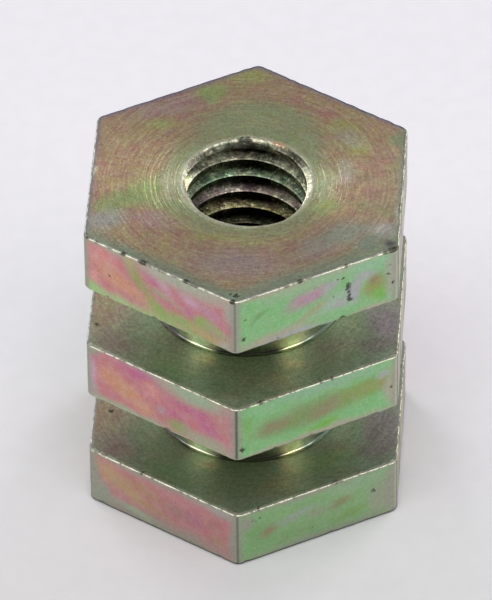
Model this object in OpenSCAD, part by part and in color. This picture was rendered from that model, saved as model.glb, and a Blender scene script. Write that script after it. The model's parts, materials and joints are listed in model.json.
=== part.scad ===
// Grooved hexagon nut: one piece of hexagonal steel bar, turned down to a round
// core between its flanges and tapped right through along its axis.
// It stands on its bottom flange, with the hole upright and a flat facing +X.

/* [Hexagon bar] */
// Width of the bar across its flats
across_flats = 22; // [20:0.5:27]
// Radius that blunts the six upright corners of the bar
corner_radius = 0.7; // [0.3:0.1:1.5]

/* [Flanges] */
// Number of hexagonal flanges along the nut
flange_count = 3; // [2:1:5]
// Thickness of each flange
flange_thickness = 4.8; // [3:0.1:8]
// Width of the small bevel along the flange edges
edge_bevel = 0.15; // [0.05:0.05:0.4]

/* [Grooves] */
// Width of each groove between two flanges
groove_width = 5.4; // [3:0.1:9]
// Diameter of the round core at the bottom of the grooves
core_diameter = 13.5; // [12.5:0.1:18]
// Radius of the inside corner where the core meets a flange
root_fillet = 0.3; // [0.05:0.05:0.8]

/* [Tapped hole] */
// Diameter of the hole as drilled for the thread
tapping_diameter = 8.5; // [6.8:0.1:10.2]
// Bevel round both mouths of the hole, measured along the radius
mouth_bevel = 0.35; // [0.1:0.05:0.8]

/* [Hidden] */
$fn = 96;
// Sides of the bar, and the turn from one flat to the next
side_count = 6;
side_angle = 360 / side_count;
flat_radius = across_flats / 2;
// Distance from the axis to the centre of the round on a corner
corner_centre = (flat_radius - corner_radius) / cos(side_angle / 2);
core_radius = core_diameter / 2;
hole_radius = tapping_diameter / 2;
flange_spacing = flange_thickness + groove_width;
nut_height = flange_thickness + (flange_count - 1) * flange_spacing;
// How far a cutting shape runs past the faces that it cuts
overrun = 1;
// Length of a slab that reaches past the corners of the bar
slab_length = 2 * across_flats;

// A point at a distance from the axis, in the direction of an angle
function polar(distance, angle) = distance * [cos(angle), sin(angle)];

// Height of the underside of a flange, counted from the bottom
function flange_level(index) = index * flange_spacing;

// The bar's section: straight flats that run into round corners
module bar_section() {
  corners = [for (side = [0:side_count - 1]) (side + 0.5) * side_angle];
  tangent_turns = [-side_angle / 2, side_angle / 2];
  polygon([
    for (corner = corners)
      for (turn = tangent_turns)
        polar(corner_centre, corner) + polar(corner_radius, corner + turn)
  ]);
  for (corner = corners)
    translate(polar(corner_centre, corner)) circle(r = corner_radius);
}

// A long slab between two opposite flats, bevelled along its four edges
module bevelled_slab() {
  inner = flat_radius - edge_bevel;
  upper = flange_thickness - edge_bevel;
  rotate([90, 0, 0])
    linear_extrude(height = slab_length, center = true)
      polygon([
        [-inner, 0],
        [inner, 0],
        [flat_radius, edge_bevel],
        [flat_radius, upper],
        [inner, flange_thickness],
        [-inner, flange_thickness],
        [-flat_radius, upper],
        [-flat_radius, edge_bevel]
      ]);
}

// One hexagonal flange, standing on its underside
module flange() {
  intersection() {
    translate([0, 0, -overrun])
      linear_extrude(height = flange_thickness + 2 * overrun) bar_section();
    intersection_for (pair = [0:side_count / 2 - 1])
      rotate(pair * side_angle) bevelled_slab();
  }
}

// Half section of the ring of metal in an inside corner of a groove.
// It reaches down into the flange that it stands on.
module fillet_section() {
  difference() {
    translate([core_radius, -root_fillet])
      square([root_fillet, 2 * root_fillet]);
    translate([core_radius + root_fillet, root_fillet]) circle(r = root_fillet);
  }
}

// Half section of the core, from inside the bottom flange to inside the top one
module core_section() {
  translate([0, flange_thickness / 2])
    square([core_radius, nut_height - flange_thickness]);
  for (groove = [1:flange_count - 1]) {
    translate([0, flange_level(groove) - groove_width]) fillet_section();
    translate([0, flange_level(groove)]) mirror([0, 1]) fillet_section();
  }
}

// Everything that the drill and the bevelling tool take out of the middle
module tapping_hole() {
  mouth_radius = hole_radius + mouth_bevel + overrun;
  rotate_extrude()
    polygon([
      [0, -overrun],
      [mouth_radius, -overrun],
      [hole_radius, mouth_bevel],
      [hole_radius, nut_height - mouth_bevel],
      [mouth_radius, nut_height + overrun],
      [0, nut_height + overrun]
    ]);
}

// The whole nut: its flanges joined by the core, with the hole cut through them
module grooved_nut() {
  color([0.68, 0.60, 0.46])
    difference() {
      union() {
        for (index = [0:flange_count - 1])
          translate([0, 0, flange_level(index)]) flange();
        rotate_extrude() core_section();
      }
      tapping_hole();
    }
}

grooved_nut();
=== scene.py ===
import json
from collections import namedtuple
from math import ceil, cos, exp, log, pi, radians, sin, sqrt, tan

import bpy
import numpy as np
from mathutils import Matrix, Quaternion, Vector


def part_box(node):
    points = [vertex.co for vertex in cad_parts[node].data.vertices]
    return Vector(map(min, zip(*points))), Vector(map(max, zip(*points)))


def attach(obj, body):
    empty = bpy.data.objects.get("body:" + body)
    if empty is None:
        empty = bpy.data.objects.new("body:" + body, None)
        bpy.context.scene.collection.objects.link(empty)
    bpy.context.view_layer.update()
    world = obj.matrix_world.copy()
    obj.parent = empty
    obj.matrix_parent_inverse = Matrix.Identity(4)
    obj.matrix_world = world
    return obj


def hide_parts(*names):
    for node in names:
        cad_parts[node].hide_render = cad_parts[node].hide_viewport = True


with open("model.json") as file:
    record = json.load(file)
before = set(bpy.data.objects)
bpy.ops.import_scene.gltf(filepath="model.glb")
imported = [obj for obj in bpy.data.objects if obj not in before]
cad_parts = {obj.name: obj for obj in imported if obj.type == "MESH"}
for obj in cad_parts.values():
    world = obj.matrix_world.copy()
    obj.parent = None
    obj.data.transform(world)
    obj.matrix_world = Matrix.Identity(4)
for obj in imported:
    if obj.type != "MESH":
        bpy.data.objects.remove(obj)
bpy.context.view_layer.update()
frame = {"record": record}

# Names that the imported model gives
NODE = "grooved_nut"
BODY = "root"
MM = 0.001

# Sizes of the nut in millimetres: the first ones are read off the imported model
box_low, box_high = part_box(NODE)
FLAT_RADIUS = (box_high[0] - box_low[0]) / 2 / MM
NUT_HEIGHT = (box_high[2] - box_low[2]) / MM
thread_mount = next(m for m in frame["record"]["mounts"] if m["name"] == "thread")
HOLE_RADIUS = thread_mount["dims"]["r_mm"]
FLANGE_COUNT = 3
FLANGE_THICKNESS = 4.8
GROOVE_WIDTH = (NUT_HEIGHT - FLANGE_COUNT * FLANGE_THICKNESS) / (FLANGE_COUNT - 1)
FLANGE_SPACING = FLANGE_THICKNESS + GROOVE_WIDTH
CORE_RADIUS = 6.75
ROOT_FILLET = 0.3
CORNER_RADIUS = 0.7
MOUTH_BEVEL = 0.35
MOUTH_RADIUS = HOLE_RADIUS + MOUTH_BEVEL
# Width of the strip of face round each mouth, where the columns of the outside meet those of the hole
MOUTH_STRIP = 0.4
THREAD_PITCH = 1.5
THREAD_ROOT_RADIUS = 5.0
THREAD_ROOT_FLAT = THREAD_PITCH / 8
FLANK_SLOPE = tan(radians(30))

# How finely the mesh is cut
SIDES = 6
FLAT_COLUMNS = 56
CORNER_COLUMNS = 8
# Columns of the outside for each column of the hole
HOLE_STEP = 4
EDGE_ROWS = 5
FLAT_ROWS = 20
FACE_ROWS = 10
TOP_ROWS = 24
CORE_ROWS = 6
FILLET_ROWS = 6
# Share of even spacing in steps that lie closer together near both ends
EVEN_SHARE = 0.35
# Faces that meet at a larger angle have a sharp edge between them
SHARP_ANGLE = radians(38)

# Camera, fitted to the photograph's edges, for an image of 492 by 600
IMAGE_LONG_SIDE = 600
FOCAL_PIXELS = 8138
SENSOR = 36
CAMERA_AZIMUTH = 4.05
CAMERA_ELEVATION = 42.27
CAMERA_ROLL = -0.55
CAMERA_DISTANCE = 579.4
AIM_UP = 1.05
AIM_LEFT = 0.14
CLIP_METRES = (0.01, 10)

random = np.random.default_rng(seed=22)

# Zones of the surface, in the order of the material slots
TURNED, GROOVE, FLAT, EDGE, CORE, THREAD = range(6)

# Sides of the hexagon, counted from +X towards +Y, and flanges from the bottom
RIGHT, BACK_RIGHT, BACK_LEFT, LEFT, FRONT_LEFT, FRONT_RIGHT = range(SIDES)
BOTTOM, MIDDLE, TOP = range(FLANGE_COUNT)
SIDE_TURN = 2 * pi / SIDES
HALF_FLAT = (FLAT_RADIUS - CORNER_RADIUS) * tan(SIDE_TURN / 2)
# Way along a side to the middle of the round corner at its end
HALF_SIDE = HALF_FLAT + CORNER_RADIUS * SIDE_TURN / 2


# Shape

Columns = namedtuple("Columns", "point normal side along angle distance")


def outline_columns():
    """Columns round the hexagon, with the side each lies on and its way along that side."""
    found = []
    for side in range(SIDES):
        turn = side * SIDE_TURN
        out = np.array([cos(turn), sin(turn)])
        way = np.array([-sin(turn), cos(turn)])
        for u in np.linspace(-HALF_FLAT, HALF_FLAT, FLAT_COLUMNS):
            found.append((FLAT_RADIUS * out + u * way, out, side, u))
        centre = (FLAT_RADIUS - CORNER_RADIUS) * out + HALF_FLAT * way
        for n in range(1, CORNER_COLUMNS + 1):
            share = n / (CORNER_COLUMNS + 1)
            corner_turn = turn + share * SIDE_TURN
            normal = np.array([cos(corner_turn), sin(corner_turn)])
            u = HALF_FLAT + CORNER_RADIUS * SIDE_TURN * min(share, 1 - share)
            place = (side, u) if share < 0.5 else ((side + 1) % SIDES, -u)
            found.append((centre + CORNER_RADIUS * normal, normal, *place))
    points, normals, sides, along = map(np.array, zip(*found))
    gaps = np.linalg.norm(np.roll(points, -1, axis=0) - points, axis=1)
    angle = np.unwrap(np.arctan2(points[:, 1], points[:, 0]))
    return Columns(points, normals, sides, along, angle, np.cumsum(gaps) - gaps), gaps.sum()


columns, PERIMETER = outline_columns()
COLUMN_COUNT = len(columns.angle)

# Rounding of the edges, wider at the foot, and the waves in it: their size, number and range of lengths
EDGE_ROUND = 0.085
FOOT_ROUND = 0.14
WAVER_SIZE = 0.014
WAVER_COUNT = 24
WAVER_LENGTHS = (0.5, 6)
# How many small knocks the upper edge of each flange has, from the bottom, and each lower edge
UPPER_EDGE_NICKS = (40, 40, 90)
LOWER_EDGE_NICKS = 24
NICK_DEPTHS = (0.02, 0.11)
NICK_WIDTHS = (0.1, 0.3)


def waver():
    """Smooth random waves round the outline, by which the rounding of an edge varies."""
    total = np.zeros(COLUMN_COUNT)
    for _ in range(WAVER_COUNT):
        length = exp(random.uniform(*map(log, WAVER_LENGTHS)))
        turns = max(1, round(PERIMETER / length))
        total += np.sin(2 * pi * (turns * columns.distance / PERIMETER + random.random()))
    return WAVER_SIZE * (total / sqrt(WAVER_COUNT))


def nicks(count):
    """Small knocks at random places round the outline: how deep each column is knocked in."""
    total = np.zeros(COLUMN_COUNT)
    for _ in range(count):
        away = np.abs(columns.distance - random.uniform(0, PERIMETER))
        away = np.minimum(away, PERIMETER - away)
        depth = random.uniform(*NICK_DEPTHS)
        total = np.maximum(total, depth * np.exp(-(away / random.uniform(*NICK_WIDTHS)) ** 2))
    return total


# Knocks that the photograph shows, by flange, whether on its upper edge, and side: where along the side,
# half width and depth
KNOCKS = {
    (TOP, False, FRONT_RIGHT): [(1.95, 0.22, 0.16)],
    (TOP, True, FRONT_RIGHT): [(5.95, 0.45, 0.18), (-1.3, 0.22, 0.12)],
    (TOP, True, FRONT_LEFT): [(6.1, 0.25, 0.14), (-3, 0.2, 0.14), (-1.4, 0.3, 0.15), (2.2, 0.25, 0.12)],
    (MIDDLE, True, FRONT_RIGHT): [(1.2, 0.12, 0.12), (-4.4, 0.3, 0.1)],
}


def edge_knocks(flange, upper):
    """How deep each column of one edge is knocked in."""
    total = nicks(UPPER_EDGE_NICKS[flange] if upper else LOWER_EDGE_NICKS)
    for side in range(SIDES):
        for along, width, depth in KNOCKS.get((flange, upper, side), []):
            away = (columns.along - along) / width
            total = np.maximum(total, depth * np.exp(-away ** 4) * (columns.side == side))
    return total


def circle(radius, z):
    x, y = radius * np.cos(columns.angle), radius * np.sin(columns.angle)
    return np.column_stack([x, y, np.full(COLUMN_COUNT, z)])


def hexagon(inset, z):
    flat = columns.point - columns.normal * np.reshape(inset, (-1, 1))
    return np.column_stack([flat, np.full(COLUMN_COUNT, z)])


def steps(count):
    """Shares from just above 0 up to 1."""
    return np.arange(1, count + 1) / count


def steps_close_at_ends(count):
    """Shares up to 1 that lie closer together near both ends."""
    even = steps(count)
    return EVEN_SHARE * even + (1 - EVEN_SHARE) * (1 - np.cos(pi * even)) / 2


Row = namedtuple("Row", "ring zone flange upper knocks")


def skin_rows():
    """Rings of the outside, from the mouth at the bottom, round the flanges, to the mouth at the top."""
    inner = circle(MOUTH_RADIUS + MOUTH_STRIP, 0)
    rows = [Row(inner, TURNED, BOTTOM, False, None)]
    for flange in range(FLANGE_COUNT):
        low = flange * FLANGE_SPACING
        high = low + FLANGE_THICKNESS
        lower_knocks, upper_knocks = edge_knocks(flange, False), edge_knocks(flange, True)
        lower = (FOOT_ROUND if flange == BOTTOM else EDGE_ROUND) + waver() + lower_knocks
        upper = EDGE_ROUND + waver() + upper_knocks

        def add(ring, zone, upper_edge=False, knocks=None):
            rows.append(Row(ring, zone, flange, upper_edge, knocks))

        def add_between(start, end, count, zone):
            for share in steps_close_at_ends(count):
                add(start + share * (end - start), zone)

        add_between(inner, hexagon(lower, low), FACE_ROWS, TURNED if flange == BOTTOM else GROOVE)
        for turn in steps(EDGE_ROWS) * pi / 2:
            ring = hexagon(lower * (1 - sin(turn)), low + lower * (1 - cos(turn)))
            add(ring, EDGE, False, lower_knocks)
        add_between(hexagon(0, low + lower), hexagon(0, high - upper), FLAT_ROWS, FLAT)
        for turn in steps(EDGE_ROWS) * pi / 2:
            ring = hexagon(upper * (1 - cos(turn)), high - upper * (1 - sin(turn)))
            add(ring, EDGE, True, upper_knocks)
        outer = hexagon(upper, high)
        if flange == TOP:
            add_between(outer, circle(MOUTH_RADIUS + MOUTH_STRIP, high), TOP_ROWS, TURNED)
            break
        add_between(outer, circle(CORE_RADIUS + ROOT_FILLET, high), FACE_ROWS, GROOVE)
        for turn in steps(FILLET_ROWS) * pi / 2:
            fillet = ROOT_FILLET * (1 - sin(turn))
            add(circle(CORE_RADIUS + fillet, high + ROOT_FILLET * (1 - cos(turn))), CORE)
        core_high = high + GROOVE_WIDTH
        for share in steps(CORE_ROWS):
            z = high + ROOT_FILLET + share * (GROOVE_WIDTH - 2 * ROOT_FILLET)
            add(circle(CORE_RADIUS, z), CORE)
        for turn in steps(FILLET_ROWS) * pi / 2:
            fillet = ROOT_FILLET * (1 - cos(turn))
            add(circle(CORE_RADIUS + fillet, core_high - ROOT_FILLET * (1 - sin(turn))), CORE)
        inner = circle(CORE_RADIUS + ROOT_FILLET, core_high)
    return rows


# Crest width left by the drill, and the heights of one turn's rows above the lower edge of a crest
FLANK_HEIGHT = (THREAD_ROOT_RADIUS - HOLE_RADIUS) * FLANK_SLOPE
CREST = THREAD_PITCH - THREAD_ROOT_FLAT - 2 * FLANK_HEIGHT
CREST_LINE = 0.06
TURN_ROWS = [
    0,
    CREST - CREST_LINE,
    CREST,
    CREST + CREST_LINE,
    CREST + FLANK_HEIGHT / 2,
    CREST + FLANK_HEIGHT,
    CREST + FLANK_HEIGHT + THREAD_ROOT_FLAT,
    CREST + FLANK_HEIGHT * 3 / 2 + THREAD_ROOT_FLAT,
]
# Angle and depth below the top face where the upper edge of a crest passes
THREAD_START_ANGLE = radians(94)
THREAD_START_DEPTH = 0.12
# Turns laid out beyond the nut's height, before the faces cut them off, and those of them above that crest
SPARE_TURNS = 5
TURNS_ABOVE = 3
# Place, half width and size of the notch in the rim of the top mouth
NOTCH_ANGLE = radians(95.5)
NOTCH_WIDTH = radians(4.5)
NOTCH_SIZE = 0.12
# The rim of the top mouth is not quite round: angle in degrees and how far it lies outside the bevel
RIM_SHIFTS = [(170, 0), (184, -0.1), (203, -0.27), (224, -0.14), (256, -0.06), (306, 0.24), (330, 0)]
# A point this close to the bevel of a mouth counts as on it
TOUCHING = 0.01


def thread_radius(above):
    """Radius of the thread at a height above the lower edge of a crest, within one turn."""
    rise = (above - CREST) / FLANK_SLOPE
    fall = (THREAD_PITCH - above) / FLANK_SLOPE
    return HOLE_RADIUS + np.clip(np.minimum(rise, fall), 0, THREAD_ROOT_RADIUS - HOLE_RADIUS)


def notch(angle):
    return np.exp(-((angle - NOTCH_ANGLE) / NOTCH_WIDTH) ** 4)


Hole = namedtuple("Hole", "points angle above in_mouth first last")


def hole_grid():
    """Points of the tapped hole on rows that climb with the thread, held between the two faces."""
    angle = columns.angle[::HOLE_STEP]
    turns = ceil(NUT_HEIGHT / THREAD_PITCH) + SPARE_TURNS
    start = NUT_HEIGHT - THREAD_START_DEPTH - CREST - (turns - TURNS_ABOVE) * THREAD_PITCH
    heights = np.concatenate([start + turn * THREAD_PITCH + np.array(TURN_ROWS) for turn in range(turns)])
    above = np.tile(TURN_ROWS, turns)
    lead = THREAD_PITCH * (angle - THREAD_START_ANGLE) / (2 * pi)
    z = heights[None, :] + lead[:, None]
    held = np.clip(z, 0, NUT_HEIGHT)
    depth = np.minimum(held, NUT_HEIGHT - held)
    near_top = held > NUT_HEIGHT / 2
    shift = np.interp(np.degrees(angle), *zip(*RIM_SHIFTS)) + NOTCH_SIZE * notch(angle)
    mouth = MOUTH_RADIUS + shift[:, None] * near_top
    radius = np.minimum(thread_radius(above)[None, :], mouth + depth)
    radius = np.maximum(radius, mouth - depth)
    x, y = radius * np.cos(angle)[:, None], radius * np.sin(angle)[:, None]
    points = np.stack([x, y, held], axis=-1)
    in_mouth = radius <= mouth - depth + TOUCHING
    first = np.sum(z <= 0, axis=1) - 1
    last = z.shape[1] - np.sum(z >= NUT_HEIGHT, axis=1)
    spread = np.broadcast_to(angle[:, None], z.shape)
    return Hole(points, spread, np.broadcast_to(above, z.shape), in_mouth, first, last)


def without_repeats(corners):
    return [c for n, c in enumerate(corners) if c != corners[n - 1]]


def nut_faces(row_zones, hole):
    """Corner numbers of every face, and the zone that each face belongs to."""
    faces, zones = [], []
    row_count = len(row_zones)
    grid_rows = hole.points.shape[1]
    hole_columns = COLUMN_COUNT // HOLE_STEP
    hole_start = row_count * COLUMN_COUNT

    def skin(row, column):
        return row * COLUMN_COUNT + column % COLUMN_COUNT

    def wall(column, row):
        if column == hole_columns:
            column, row = 0, row + len(TURN_ROWS)
        held = min(max(row, hole.first[column]), hole.last[column])
        return hole_start + column * grid_rows + held

    def strip(skin_row, column, wall_row):
        """Triangles from the outside's columns to one column of the hole, wound as on the top face."""
        here, there = wall(column, wall_row), wall(column + 1, wall_row)
        rim = [skin(skin_row, column * HOLE_STEP + n) for n in range(HOLE_STEP + 1)]
        half = HOLE_STEP // 2
        outer = [[rim[n], rim[n + 1], here if n < half else there] for n in range(HOLE_STEP)]
        return outer + [[here, rim[half], there]]

    for row in range(row_count - 1):
        for column in range(COLUMN_COUNT):
            low = [skin(row, column), skin(row, column + 1)]
            high = [skin(row + 1, column + 1), skin(row + 1, column)]
            faces.append(low + high)
            zones.append(row_zones[row + 1])
    for column in range(hole_columns):
        for row in range(grid_rows - 1):
            here = [wall(column, row), wall(column, row + 1)]
            there = [wall(column + 1, row + 1), wall(column + 1, row)]
            corners = without_repeats(here + there)
            if len(corners) > 2:
                faces.append(corners)
                zones.append(THREAD)
        strips = strip(row_count - 1, column, grid_rows)
        strips += [corners[::-1] for corners in strip(0, column, 0)]
        faces += strips
        zones += [TURNED] * len(strips)
    return faces, zones


# Colours of the plating's film on the flats; the last two also serve as painted highlights and painted shade

ROSE = (0.63, 0.27, 0.30)
SALMON = (0.74, 0.35, 0.33)
ORANGE = (0.69, 0.38, 0.26)
MAGENTA = (0.61, 0.22, 0.34)
LILAC = (0.66, 0.41, 0.52)
MINT = (0.43, 0.53, 0.37)
LEAF = (0.36, 0.51, 0.18)
LIME = (0.44, 0.64, 0.30)
OLIVE = (0.43, 0.36, 0.18)
SAND = (0.50, 0.45, 0.26)
JADE = (0.31, 0.60, 0.28)
MAUVE = (0.52, 0.37, 0.41)
PEARL = (0.48, 0.50, 0.48)
GRASS = (0.26, 0.54, 0.12)
MOSS = (0.37, 0.39, 0.15)
UMBER = (0.37, 0.30, 0.19)
BEIGE = (0.51, 0.47, 0.36)
ASH = (0.40, 0.40, 0.33)
SAGE = (0.46, 0.47, 0.28)
FERN = (0.26, 0.46, 0.20)
RUST = (0.52, 0.32, 0.22)
CREAM = (0.74, 0.72, 0.54)
SOOT_AND_SHADE = (0.06, 0.06, 0.05)

# Base of the film on the sides, from RIGHT on: opposite sides are alike
SIDE_TINT = [SAGE, ROSE, JADE] * 2
# What the patches on the hidden sides are drawn from
HIDDEN_TINTS = {
    RIGHT: (SAND, BEIGE, MINT, MAUVE, OLIVE),
    BACK_RIGHT: (SALMON, ORANGE, MAGENTA, LILAC, OLIVE),
    BACK_LEFT: (FERN, MINT, MOSS, PEARL, MAUVE),
    LEFT: (SAND, RUST, MAUVE, MINT, LEAF),
}

# Soft oval patches of film on each flat: place along the flat and up from its middle, half length,
# half width, tilt in degrees and tint
PATCHES = {}
PATCHES[TOP, FRONT_LEFT] = [
    (-4.8, 1.2, 1.4, 0.9, -15, SALMON),
    (-3.3, -0.4, 2.5, 0.95, -19, ORANGE),
    (-5.6, -0.9, 0.6, 0.8, 0, SALMON),
    (-2.2, -1.6, 1.2, 0.3, -12, ROSE),
    (1.4, 0.3, 1.6, 0.8, -30, ROSE),
    (-0.6, 1.3, 0.7, 0.5, -40, MAGENTA),
    (0.4, 1, 0.85, 0.42, -45, LILAC),
    (2.9, 0.8, 1.1, 0.4, -20, LILAC),
    (4.4, 0.4, 1.1, 0.6, -30, (0.60, 0.32, 0.40)),
    (2.4, -0.4, 0.6, 0.5, 0, MAGENTA),
    (2.2, -1.85, 3.2, 0.85, 0, LEAF),
    (-0.1, -1.25, 0.9, 0.6, -30, LEAF),
    (3.6, -0.75, 0.8, 0.45, 0, LEAF),
    (-1.6, 0.5, 2.1, 0.55, -49, (0.40, 0.40, 0.17)),
    (0.2, 0.15, 1.3, 0.3, -20, (0.47, 0.40, 0.28)),
    (1.3, -0.2, 1.2, 0.3, -25, (0.56, 0.38, 0.34)),
    (3.7, -1.75, 1.2, 0.36, -12, (0.56, 0.42, 0.24)),
    (1.9, -2, 0.8, 0.3, -10, SAND),
    (5.5, -0.3, 0.4, 0.9, 8, ROSE),
    (4.8, -0.85, 1.2, 0.42, -22, (0.42, 0.46, 0.24)),
    (5.9, 1.2, 0.6, 1, 0, (0.50, 0.47, 0.40)),
    (-4.6, 2.4, 2, 0.35, 0, MINT),
    (5.5, -2, 0.6, 0.6, 0, BEIGE),
    (2, 2.25, 4.8, 0.95, 0, (0.50, 0.53, 0.41)),
    (-2.5, 1.8, 0.6, 0.5, -40, SAND),
    (-3.3, -2.5, 4.4, 0.72, 0, LIME),
    (-5.4, -1.85, 1, 0.55, -8, LIME),
]
PATCHES[MIDDLE, FRONT_LEFT] = [
    (-3.4, -0.15, 2.4, 0.95, -23, ORANGE),
    (-5.4, 1.35, 0.6, 0.6, 0, ROSE),
    (-1.5, -1.3, 0.9, 0.45, -20, ORANGE),
    (-2, 1.75, 1.4, 0.5, -8, MAGENTA),
    (-0.8, 0.7, 0.8, 0.6, -30, SALMON),
    (-0.05, -0.65, 0.4, 0.45, 0, MAUVE),
    (1.25, -0.8, 0.75, 0.42, -15, MAGENTA),
    (2.6, 0.6, 1.6, 0.4, -4, MAGENTA),
    (4, -0.5, 1.2, 0.5, -35, MAGENTA),
    (5.2, 0.3, 0.65, 1, 0, (0.60, 0.32, 0.29)),
    (1.5, -1.6, 1, 0.5, -5, MOSS),
    (4, -1.95, 2.6, 0.75, -3, (0.47, 0.47, 0.34)),
    (-1.2, 2.3, 2.2, 0.28, 0, MAUVE),
    (2.7, 2, 3, 0.95, 0, MINT),
    (-6, 0, 0.42, 1.5, 0, LILAC),
    (-5.9, 2.2, 0.8, 0.5, 0, ASH),
    (-3, -2.5, 4.4, 0.62, 0, (0.43, 0.55, 0.37)),
    (-5.9, -1.6, 0.6, 0.8, 0, (0.50, 0.44, 0.42)),
]
PATCHES[BOTTOM, FRONT_LEFT] = [
    (0, 0, 9, 4, 0, (0.58, 0.29, 0.29)),
    (-5.3, -0.8, 0.9, 0.8, -20, ASH),
    (-4.6, 0.9, 1.4, 0.9, -20, (0.60, 0.38, 0.26)),
    (-2.8, 0.1, 2.6, 0.6, -20, (0.54, 0.38, 0.23)),
    (-1.8, 0.9, 1.8, 0.5, -15, RUST),
    (-0.6, -0.5, 1.4, 0.4, -15, RUST),
    (1, 0.3, 1.2, 0.6, -15, (0.46, 0.28, 0.25)),
    (2.8, 0.2, 0.9, 0.6, -15, (0.52, 0.25, 0.31)),
    (4.4, 0.5, 0.9, 0.7, 0, (0.52, 0.26, 0.25)),
    (4.8, -1, 0.8, 0.4, -20, RUST),
    (-6, 0, 0.5, 2.4, 0, ASH),
    (6.1, 0, 0.45, 2.6, 0, ASH),
    (0, 2.5, 6.8, 0.62, 0, ASH),
    (4.6, 2, 1.6, 0.5, -4, (0.45, 0.44, 0.40)),
    (0, -2.6, 8, 1.4, 0, ASH),
    (-5.4, -1.7, 1.4, 0.9, -5, (0.38, 0.42, 0.33)),
    (-2.6, -1.6, 1.5, 0.35, -10, MINT),
]
PATCHES[TOP, FRONT_RIGHT] = [
    (-1, 1.7, 3.6, 0.5, 3, (0.40, 0.57, 0.35)),
    (-4.6, 0.45, 0.8, 0.25, 30, FERN),
    (1.2, -0.5, 1.8, 0.9, 15, (0.42, 0.58, 0.42)),
    (-0.8, 0.6, 1.7, 0.62, 14, MAUVE),
    (0, 0.75, 1.1, 0.4, 16, (0.55, 0.36, 0.44)),
    (1, 1, 0.7, 0.4, 15, PEARL),
    (-0.3, -0.75, 1.3, 0.3, 35, SAGE),
    (1.7, -0.8, 0.8, 0.5, 10, PEARL),
    (3.05, -0.1, 0.6, 1.2, 0, (0.49, 0.49, 0.50)),
    (3.9, 1, 1, 0.4, 0, PEARL),
    (4.2, 1.8, 1.7, 0.55, 0, (0.37, 0.61, 0.38)),
    (4.6, -0.3, 0.9, 1.05, 0, MOSS),
    (4.5, 0.45, 0.5, 0.35, 0, UMBER),
    (5.05, -1.1, 0.6, 0.55, 0, GRASS),
    (5.8, 0.2, 0.5, 2.4, 0, (0.46, 0.48, 0.38)),
    (-3.3, -2.1, 3, 0.68, 3, BEIGE),
    (-2.4, -2.45, 2.8, 0.42, 4, PEARL),
    (-3.4, 2.4, 3.2, 0.5, 0, BEIGE),
    (1.8, 2.4, 2.6, 0.36, 0, (0.46, 0.52, 0.38)),
    (4.4, -2.3, 1.6, 0.4, 0, BEIGE),
]
PATCHES[MIDDLE, FRONT_RIGHT] = [
    (-0.6, -0.1, 4.4, 1.1, 4, (0.29, 0.38, 0.17)),
    (-3.3, -0.2, 1.2, 0.5, 10, (0.35, 0.33, 0.19)),
    (0.9, -0.15, 1.5, 0.5, 20, (0.36, 0.33, 0.20)),
    (3.6, 0.4, 1.9, 0.8, 8, (0.34, 0.42, 0.15)),
    (5.2, 0.4, 0.4, 0.5, 0, MOSS),
    (-4.6, -1.3, 1, 0.5, 0, JADE),
    (-5.5, 0.8, 0.5, 0.7, 0, (0.27, 0.52, 0.17)),
    (3.4, -1.35, 1.6, 0.5, 8, JADE),
    (0.6, -1.7, 1.4, 0.4, 0, GRASS),
    (0.5, 2, 4.4, 0.65, 0, (0.35, 0.56, 0.36)),
    (5.1, 1.2, 0.5, 0.4, 0, PEARL),
    (6, -0.4, 0.7, 1.8, 0, BEIGE),
    (0, -2.4, 6.5, 0.4, 0, BEIGE),
]
PATCHES[BOTTOM, FRONT_RIGHT] = [
    (0, 0, 9, 4, 0, (0.31, 0.49, 0.25)),
    (-4.7, 0, 1.2, 1, 0, FERN),
    (-3.9, -0.1, 0.8, 0.4, 10, UMBER),
    (-1.8, 0.5, 1.6, 0.35, 12, (0.40, 0.45, 0.38)),
    (0, 0.2, 0.8, 0.35, 10, (0.36, 0.40, 0.28)),
    (-2, -1, 1.6, 0.45, 8, (0.30, 0.46, 0.22)),
    (1.8, 0.3, 0.9, 0.4, 10, (0.33, 0.33, 0.19)),
    (2.8, -0.9, 1.2, 0.4, 8, (0.27, 0.44, 0.16)),
    (3.4, 1.5, 2.4, 0.5, 0, (0.35, 0.50, 0.31)),
    (5.1, -0.5, 1, 1.7, 0, (0.39, 0.43, 0.31)),
    (5.9, 0, 0.5, 2.6, 0, ASH),
    (-5.6, 1.3, 0.5, 0.8, 0, ASH),
    (0, 2.45, 6.5, 0.5, 0, ASH),
    (0, -2.45, 6.5, 0.8, 0, (0.37, 0.41, 0.31)),
]
# Upright bands on the flat that the photograph shows as a sliver: place along it and tint
SLIVER_BANDS = [(-2.8, (0.20, 0.20, 0.15)), (0.3, (0.62, 0.60, 0.44)), (3.6, (0.20, 0.20, 0.15))]
BAND_SIZE = (0.9, 9)
# Patches at random on the flats that the photograph does not show: their number, how far from the middle
# they lie, their sizes and largest tilt, and the two bands along the edges
HIDDEN_COUNT = 9
HIDDEN_REACH = (5.5, 1.8)
HIDDEN_LENGTHS = (0.7, 2.2)
HIDDEN_WIDTHS = (0.3, 0.8)
HIDDEN_TILT = 50
EDGE_BANDS = [(0, up, 6.5, 0.4, 0, ASH) for up in (-2.35, 2.35)]


def hidden_patches(side, chance):
    """Patches at random on a flat that the photograph does not show."""
    patches = []
    for _ in range(HIDDEN_COUNT):
        place = [chance.uniform(-reach, reach) for reach in HIDDEN_REACH]
        size = chance.uniform(*HIDDEN_LENGTHS), chance.uniform(*HIDDEN_WIDTHS)
        tint = HIDDEN_TINTS[side][chance.integers(len(HIDDEN_TINTS[side]))]
        patches.append((*place, *size, chance.uniform(-HIDDEN_TILT, HIDDEN_TILT), tint))
    return patches + EDGE_BANDS


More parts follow.
